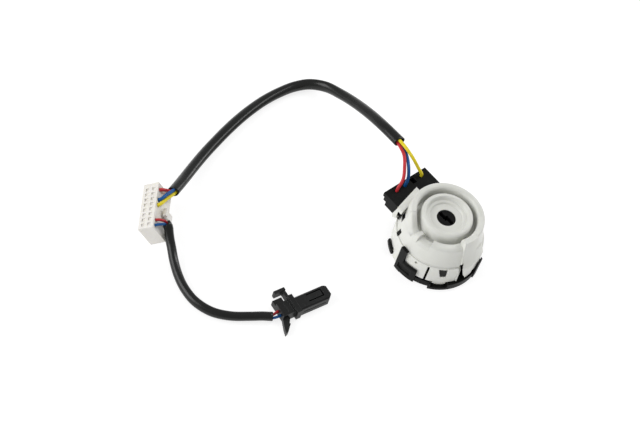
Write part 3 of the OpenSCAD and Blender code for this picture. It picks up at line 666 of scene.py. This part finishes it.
def new_mesh(
    name: str, verts: Sequence[Vector], faces: Sequence[Sequence[int]], finish: Finish
) -> bpy.types.Object:
    """Makes a smooth mesh piece.

    Args:
        name: The piece's name.
        verts: Its points.
        faces: Its faces.
        finish: Its finish.

    Returns:
        The object.
    """
    mesh = bpy.data.meshes.new(name)
    mesh.from_pydata([tuple(v) for v in verts], [], [tuple(f) for f in faces])
    mesh.polygons.foreach_set("use_smooth", [True] * len(mesh.polygons))
    mesh.materials.append(finish.material())
    piece = bpy.data.objects.new(name, mesh)
    bpy.context.scene.collection.objects.link(piece)
    return piece


@dataclass
class Wire:
    """One insulated wire: a round cord on one smooth curve."""

    name: str
    finish: Finish
    slot: str
    diameter: float
    line: list[Vector]
    roundness: int = 5

    def build(self, stand_for: Sequence[str], far_end: str, with_pieces: Sequence[bpy.types.Object]) -> None:
        """Args:
            stand_for: The CAD nodes that it replaces.
            far_end: What is on its far end.
            with_pieces: The pieces on it.
        """
        curve = bpy.data.curves.new(self.name, "CURVE")
        curve.dimensions = "3D"
        curve.bevel_depth = self.diameter / 2
        curve.bevel_resolution = self.roundness
        curve.use_fill_caps = True
        spline = curve.splines.new("POLY")
        spline.points.add(len(self.line) - 1)
        for point, place in zip(spline.points, self.line):
            point.co = (*place, 1.0)
        spline.use_smooth = True
        curve.materials.append(self.finish.material())
        wire = bpy.data.objects.new(self.name, curve)
        bpy.context.scene.collection.objects.link(wire)
        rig.ride(wire, Body.FIXED.value)
        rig.replaces(wire, *stand_for)
        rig.slot(wire, self.slot)
        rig.cord(wire, exit=self.line[0], length=length(self.line), diameter=self.diameter, far_end=far_end,
                stiffness="medium", lay="loose", with_pieces=list(with_pieces))
        LOG.info("wire %s: %.0f mm", self.name, length(self.line) / MM)


@dataclass
class Sleeve:
    """A soft tube over the wires, open at both ends and pressed out of round along its way."""

    name: str
    diameter: float
    wall: float
    route: list[Vector]
    step: float
    sides: int = 32
    mouth: float = 0.014
    line: list[Vector] = field(init=False)
    halves: list[Pair] = field(init=False)
    frames: list[tuple[Vector, Vector]] = field(init=False)

    def __post_init__(self) -> None:
        """Lays the centre line through the route, whose fourth number is the width across."""
        path = smooth(self.route, self.step)
        self.line = [stop.to_3d() for stop in path]
        self.halves = [(stop.w / 2, self.diameter - stop.w / 2) for stop in path]
        self.frames = carried_frames(self.line)

    def around(self, i: int, turn: float, inset: float) -> Vector:
        """A point of the oval section.

        Args:
            i: Which point of the centre line it belongs to.
            turn: Where round the tube it lies, in radians from the side vector.
            inset: How far it lies inside the outer face.

        Returns:
            The point.
        """
        side, up = self.frames[i]
        wide, high = self.halves[i]
        return self.line[i] + side * math.cos(turn) * (wide - inset) + up * math.sin(turn) * (high - inset)

    def wound(self, first: float, last: float, inset: float) -> list[Vector]:
        """A line inside the tube that winds round its centre line.

        Args:
            first: Where round the tube it starts, in degrees from the side vector.
            last: Where round the tube it ends.
            inset: How far it lies inside the outer face.

        Returns:
            The points of the line.
        """
        end = len(self.line) - 1
        turns = [math.radians(first + (last - first) * i / end) for i in range(end + 1)]
        return [self.around(i, turn, inset) for i, turn in enumerate(turns)]

    def build(self, node: str) -> None:
        """Args:
            node: The CAD node that it replaces.
        """
        last = len(self.line) - 1
        deep = min(last, max(2, round(self.mouth / self.step)))
        rows: list[tuple[int, float]] = [(i, self.wall) for i in range(deep, -1, -1)]
        rows += [(0, self.wall / 2)]
        rows += [(i, 0.0) for i in range(last + 1)]
        rows += [(last, self.wall / 2)]
        rows += [(i, self.wall) for i in range(last, last - deep - 1, -1)]
        turns = [2 * math.pi * k / self.sides for k in range(self.sides)]
        verts = [self.around(i, turn, inset) for i, inset in rows for turn in turns]
        faces = [(r * self.sides + k, r * self.sides + (k + 1) % self.sides,
                  (r + 1) * self.sides + (k + 1) % self.sides, (r + 1) * self.sides + k)
                 for r in range(len(rows) - 1) for k in range(self.sides)]
        ends = [list(range(self.sides))[::-1], [(len(rows) - 1) * self.sides + k for k in range(self.sides)]]
        tube = new_mesh(self.name, verts, [*faces, *ends], Finish.SLEEVE)
        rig.ride(tube, Body.FIXED.value)
        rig.replaces(tube, node)
        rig.slot(tube, "sleeve")
        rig.cord(tube, exit=self.line[0], length=length(self.line), diameter=self.diameter, far_end="bare",
                stiffness="medium", lay="loose", path=self.line)
        LOG.info("sleeve %s: %.0f mm", self.name, length(self.line) / MM)


@dataclass(frozen=True)
class Run:
    """The way of one wire: its first end, its turn inside the sleeve and its last end.

    The ends are in millimetres. The turns say where round the sleeve it goes in and comes out, in degrees.
    """

    colour: str
    finish: Finish
    turns: Pair
    head: tuple[Place, ...]
    tail: tuple[Place, ...]


@dataclass
class Harness:
    """The wires, leads and sleeves between the switch, the connector and the plug."""

    wire: float = 1.6 * MM
    lead: float = 1.3 * MM
    sleeve: float = 5.1 * MM
    lead_sleeve: float = 4.3 * MM
    wall: float = 0.4 * MM
    step: float = 1.0 * MM
    wire_sink: float = 0.65
    lead_sink: float = 0.7
    stop_every: int = 6
    on_connector: tuple[str, ...] = ("connector_housing", "connector_cover", "connector_contacts")
    on_plug: tuple[str, ...] = ("plug_housing", "plug_retainer", "plug_contacts")

    def build(self) -> None:
        """Makes the cords from their routes: the sleeves, then the wires and the leads in them."""
        long = Sleeve("sleeve_long", self.sleeve, self.wall, self.long_route(), self.step)
        short = Sleeve("sleeve_short", self.lead_sleeve, self.wall, self.short_route(), self.step)
        long.build("long_sleeve")
        short.build("short_sleeve")
        for run in self.wire_runs():
            wire = self.laid("wire", run, self.wire, long, self.wire_sink)
            nodes = (f"wire_{run.colour}_switch", f"wire_{run.colour}_connector")
            wire.build(nodes, "connector", [frame["nodes"][name] for name in self.on_connector])
        for run in self.lead_runs():
            lead = self.laid("lead", run, self.lead, short, self.lead_sink)
            nodes = (f"lead_{run.colour}_connector", f"lead_{run.colour}_plug")
            lead.build(nodes, "plug", [frame["nodes"][name] for name in self.on_plug])

    def laid(self, kind: str, run: Run, diameter: float, sleeve: Sleeve, sink: float) -> Wire:
        """Lays one wire through its sleeve.

        Args:
            kind: The first word of its name.
            run: Its way.
            diameter: Its diameter.
            sleeve: The sleeve that it runs in.
            sink: How deep it lies under the sleeve's wall, in diameters.

        Returns:
            The wire, not yet built.
        """
        every = self.stop_every
        inside = sleeve.wound(*run.turns, self.wall + diameter * sink)[every:-every:every]
        line = smooth([*points(*run.head), *inside, *points(*run.tail)], self.step)
        return Wire(f"{kind}_{run.colour}", run.finish, f"wire_{run.colour}", diameter, line)

    def long_route(self) -> list[Vector]:
        """The long sleeve's way from the switch to the connector.

        Returns:
            The stops, with the sleeve's width across as the fourth number.
        """
        return points(
            (-43.1, 8.3, 30, 5.9), (-54.2, 9.9, 27.3, 5.7), (-66.2, 12.8, 22, 5.7), (-78.5, 15.6, 15.5, 5.6),
            (-89.3, 16.9, 10, 5.2), (-99, 16.1, 6, 4.5), (-105.7, 11.7, 3.7, 4.6), (-109, 4.9, 2.8, 5),
            (-110.3, -3.1, 2.6, 5.4), (-110.6, -12.3, 2.6, 5.7), (-109.8, -22.1, 2.6, 5.9),
            (-108.3, -31.5, 2.6, 6), (-106.2, -40.9, 2.6, 6), (-103.9, -49.4, 2.6, 5.9),
            (-101.5, -57.4, 2.8, 5.9), (-97.9, -67, 4, 5.8), (-93.8, -76.6, 6, 5.8), (-91.1, -82.5, 8, 5.7),
            (-88.5, -88.5, 10, 5.7))

    def short_route(self) -> list[Vector]:
        """The short sleeve's way from the connector to the plug.

        Returns:
            The stops, with the sleeve's width across as the fourth number.
        """
        return points(
            (-76.2, -102.2, 10.4, 4.6), (-74.8, -101.8, 9.4, 4.7), (-73, -102.6, 7.9, 4.6),
            (-70.6, -103.7, 6.2, 4.4), (-67.2, -105.1, 4.4, 4.3), (-61.8, -107.7, 2.8, 4.3),
            (-54.6, -110.7, 2.2, 4.2), (-47.4, -112.6, 2.2, 4.1), (-39.6, -112.8, 2.2, 4),
            (-31.4, -110, 2.2, 4.1), (-25, -104.5, 2.2, 4.3), (-19.6, -96.9, 2.2, 4.5),
            (-16.7, -92.5, 2.3, 4.5), (-13.8, -88.8, 2.4, 4.4))

    def wire_runs(self) -> tuple[Run, ...]:
        """The ways of the three wires.

        Returns:
            A run from the terminal block to the connector for each wire.
        """
        return (
            Run("red", Finish.RED, turns=(208, 355),
                head=((-25.5, -7.4, 18), (-25.5, -7.4, 23.3), (-25.7, -6.7, 25.5), (-26.6, -4, 28.6),
                      (-31, 0.2, 31), (-35.7, 4.1, 31.1), (-40.2, 6.3, 30.2), (-43.1, 7.3, 29.6)),
                tail=((-89.4, -88.9, 9.9), (-90, -91.5, 11.8), (-90.64, -94.1, 13.57), (-92, -95.5, 12.2))),
            Run("blue", Finish.BLUE, turns=(332, 450),
                head=((-25.5, -2.1, 18), (-25.5, -2.1, 23.3), (-25.6, -1.7, 25.5), (-26.6, -0.4, 28),
                      (-30.3, 2.2, 30.6), (-35.4, 5.8, 30.1), (-39.5, 7.7, 29.7), (-43, 9.1, 29.5)),
                tail=((-88.6, -88.2, 11.2), (-87.5, -93, 12.9), (-86.61, -97.99, 13.57), (-88, -99.4, 12.2))),
            Run("yellow", Finish.YELLOW, turns=(90, 185),
                head=((-25.5, 8.5, 18), (-25.5, 8.5, 23.3), (-25.6, 8.2, 25), (-27.4, 7.4, 27.2),
                      (-32.6, 7, 30.6), (-38.3, 7.3, 31.8), (-43.2, 8.2, 30.9)),
                tail=((-87.6, -88.1, 10), (-86.1, -94, 11.8), (-84.59, -99.94, 13.57), (-86, -101.4, 12.2))),
        )

    def lead_runs(self) -> tuple[Run, ...]:
        """The ways of the two thin leads.

        Returns:
            A run from the connector to the plug for each lead.
        """
        return (
            Run("red", Finish.RED, turns=(180, 180),
                head=((-79.94, -107.19, 12.24), (-78.55, -105.77, 13.57), (-77.6, -103.6, 12.5),
                      (-76.7, -101.6, 10.3)),
                tail=((-14.58, -88.7, 2.4), (-14.36, -85.09, 2.4), (-13.97, -82.62, 2.4))),
            Run("blue", Finish.BLUE, turns=(0, 0),
                head=((-77.92, -109.14, 12.24), (-76.54, -107.72, 13.57), (-76, -105.2, 12.7),
                      (-75.7, -102.8, 10.5)),
                tail=((-13, -88.95, 2.4), (-12.1, -85.45, 2.4), (-11.7, -82.98, 2.4))),
        )


@dataclass(frozen=True)
class Swept:
    """A moulded form swept round the switch's axis, with its sections in radii and heights, in millimetres.

    The seat is its underside and the top its upper side, paired from the inside out; both end in one
    point. A form that falls sinks from its top to its seat along the arc.
    """

    name: str
    finish: Finish
    slot: str
    arc: Pair
    seat: tuple[Pair, ...]
    top: tuple[Pair, ...]
    falls: bool = False
    rows: int = 24
    crease: float = 50.0
    thinnest: float = 0.006

    def section(self, share: float) -> list[Pair]:
        """The outline at a place along the arc.

        Args:
            share: How far along the arc it lies, from 0 to 1.

        Returns:
            Radii and heights, over the top and back along the seat.
        """
        fallen = share * share * (3.0 - 2.0 * share) if self.falls else 0.0
        rise = max(1.0 - fallen, self.thinnest)
        over = [(low_r + (high_r - low_r) * rise, low_z + (high_z - low_z) * rise)
                for (low_r, low_z), (high_r, high_z) in zip(self.seat, self.top)]
        return [*over, *self.seat[-2::-1]]

    def build(self) -> None:
        """Makes the piece on the fixed body."""
        verts: list[Vector] = []
        for i in range(self.rows + 1):
            share = i / self.rows
            turn = math.radians(self.arc[0] + (self.arc[1] - self.arc[0]) * share)
            verts += points(*[(r * math.cos(turn), r * math.sin(turn), z) for r, z in self.section(share)])
        count = len(self.section(0.0))
        faces: list[Sequence[int]] = []
        for i in range(self.rows):
            here, there = i * count, (i + 1) * count
            for k in range(count):
                after = (k + 1) % count
                faces.append((here + k, there + k, there + after, here + after))
        faces += [list(range(count)), list(range(self.rows * count, (self.rows + 1) * count))[::-1]]
        piece = new_mesh(self.name, verts, faces, self.finish)
        piece.data.set_sharp_from_angle(angle=math.radians(self.crease))
        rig.ride(piece, Body.FIXED.value)
        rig.slot(piece, self.slot)
        LOG.info("swept %s", self.name)


@dataclass
class Switch:
    """The switch body with its block, rotor and inner pieces, and two small pieces that the solids lack: a ramp on the
    rim, and a black fill that paints the shade in the wing's window.
    """

    ramp: Swept = Swept(
        "rim_ramp", Finish.WHITE_THIN, "white_plastic", arc=(-127.95, -100.5), falls=True,
        seat=((14.42, 23.83), (14.9, 23.83), (15.6, 23.83), (16.5, 23.83), (16.85, 23.79), (17.3, 23.61),
              (17.71, 23.44), (18.2, 22.82), (18.7, 22.16)),
        top=((14.42, 28.2), (14.85, 29.2), (15.6, 29.75), (16.8, 29.8), (17.4, 29.4), (17.68, 27.6),
             (18.0, 25.7), (18.36, 23.9), (18.7, 22.16)))
    # A black piece filling the window behind the wing: painted shade, which also stands for the black base behind the
    # window.
    shade_fill: Swept = Swept(
        "window_shade_fill", Finish.BLACK, "black_plastic", arc=(-143.9, -131.1),
        seat=((17.63, 18.83), (18.4, 18.83), (19.15, 18.83)),
        top=((17.63, 22.97), (18.2, 22.97), (19.15, 18.83)))

    def build(self) -> None:
        """Makes the ramp at the rim's left end, and the black fill in the window behind the wing that paints the
        window's shade black.
        """
        self.ramp.build()
        self.shade_fill.build()

    def dress(self) -> None:
        """Gives each node of the switch its finish."""
        Finish.WHITE.on("housing")
        Finish.BLACK.on("base", "terminal_block")
        Finish.ROTOR.on("rotor")
        Finish.BRASS.on("contact_plate", "contact_battery", "contact_accessory", "contact_ignition")
        Finish.STEEL.on("contact_springs", "detent_balls", "detent_spring", "return_spring")


@dataclass
class Ends:
    """The flat connector and the two-way plug."""

    shells: tuple[str, ...] = ("connector_housing", "connector_cover")
    plug: tuple[str, ...] = ("plug_housing", "plug_retainer")
    contacts: tuple[str, ...] = ("connector_contacts", "plug_contacts")

    def dress(self) -> None:
        """Gives each node of the connector and the plug its finish."""
        Finish.CREAM.on(*self.shells)
        Finish.PLUG.on(*self.plug)
        Finish.BRASS.on(*self.contacts)


@dataclass(frozen=True)
class Lamp:
    """A soft rectangular lamp, in metres and watts."""

    name: str
    place: Place
    size: Pair
    power: float

    def build(self, target: Place) -> None:
        """Hangs the lamp.

        Args:
            target: The point that it is aimed at.
        """
        data = bpy.data.lights.new(self.name, "AREA")
        data.shape = "RECTANGLE"
        data.size, data.size_y = self.size
        data.energy = self.power
        lamp = bpy.data.objects.new(self.name, data)
        lamp.location = self.place
        aim = Vector(target) - lamp.location
        lamp.rotation_euler = aim.to_track_quat("-Z", "Y").to_euler()
        bpy.context.scene.collection.objects.link(lamp)


@dataclass
class Studio:
    """A plain pale floor, soft light and the camera of the photograph."""

    lens: float = 97.83
    sensor: float = 36.0
    nearest: float = 0.01
    eye: Place = (0.22535, -0.43518, 0.6615)
    right: Place = (0.64112, 0.74344, 0.19043)
    up: Place = (-0.69289, 0.45404, 0.56014)
    middle: Place = (-0.04, -0.04, 0.0)
    key: Lamp = Lamp("key_softbox", place=(-0.6, -0.95, 0.6), size=(0.9, 0.9), power=9.8)
    strip: Lamp = Lamp("strip_light", place=(0.02, 0.95, 0.75), size=(0.3, 1.2), power=6.5)
    sky: float = 0.5
    floor_half: float = 4.0
    floor_drop: float = 0.0002
    floor_glow: float = 0.77
    floor_dark: Colour = (0.33, 0.33, 0.33)
    floor_pale: Colour = (0.35, 0.35, 0.35)
    fibre_size: float = 0.002
    floor_dullness: float = 0.8
    fibre_dulling: float = 0.1

    def camera(self) -> None:
        """Places the camera."""
        data = bpy.data.cameras.new("camera")
        data.lens = self.lens
        data.sensor_width = self.sensor
        data.clip_start = self.nearest
        camera = bpy.data.objects.new("camera", data)
        right = Vector(self.right).normalized()
        back = right.cross(Vector(self.up)).normalized()
        turn = Matrix((right, back.cross(right), back)).transposed().to_4x4()
        camera.matrix_world = Matrix.Translation(self.eye) @ turn
        bpy.context.scene.collection.objects.link(camera)
        bpy.context.scene.camera = camera

    def floor(self) -> None:
        """Lays the floor under the part."""
        graph = Graph("studio_paper")
        fibre = graph.noise(self.fibre_size, detail=3.0)
        graph.feed(
            Base_Color=graph.blend(fibre, self.floor_dark, self.floor_pale),
            Roughness=(self.floor_dullness + fibre * self.fibre_dulling).clipped(),
            Specular_IOR_Level=0.0,
            Emission_Color=(1.0, 1.0, 1.0, 1.0),
            Emission_Strength=self.floor_glow,
        )
        mesh = bpy.data.meshes.new("studio_floor")
        half = self.floor_half
        corners = [(-half, -half, 0), (half, -half, 0), (half, half, 0), (-half, half, 0)]
        mesh.from_pydata(corners, [], [(0, 1, 2, 3)])
        mesh.materials.append(graph.material)
        floor = bpy.data.objects.new("studio_floor", mesh)
        floor.location.z = -self.floor_drop
        bpy.context.scene.collection.objects.link(floor)
        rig.stage(floor)

    def build(self) -> None:
        """Sets up the world, the lamps and the floor."""
        scene = bpy.context.scene
        scene.view_settings.view_transform = "Standard"
        world = bpy.data.worlds.new("studio")
        world.use_nodes = True
        sky = world.node_tree.nodes["Background"].inputs
        sky["Color"].default_value = (1.0, 1.0, 1.0, 1.0)
        sky["Strength"].default_value = self.sky
        scene.world = world
        self.key.build(self.middle)
        self.strip.build(self.middle)
        self.floor()


def keep_sizes() -> None:
    boxes = {"cad": [list(c) for c in CAD_BOX], "visual": [list(c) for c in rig.bounds()]}
    with open("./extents.json", "w", encoding="utf-8") as out:
        json.dump(boxes, out)


def main() -> None:
    """Builds the scene in order: camera, cords, switch, connector and plug, studio."""
    logging.basicConfig(level=logging.INFO, format="%(message)s")
    studio = Studio()
    studio.camera()
    Harness().build()
    switch = Switch()
    switch.build()
    switch.dress()
    Ends().dress()
    studio.build()
    keep_sizes()


if __name__ == "__main__":
    main()
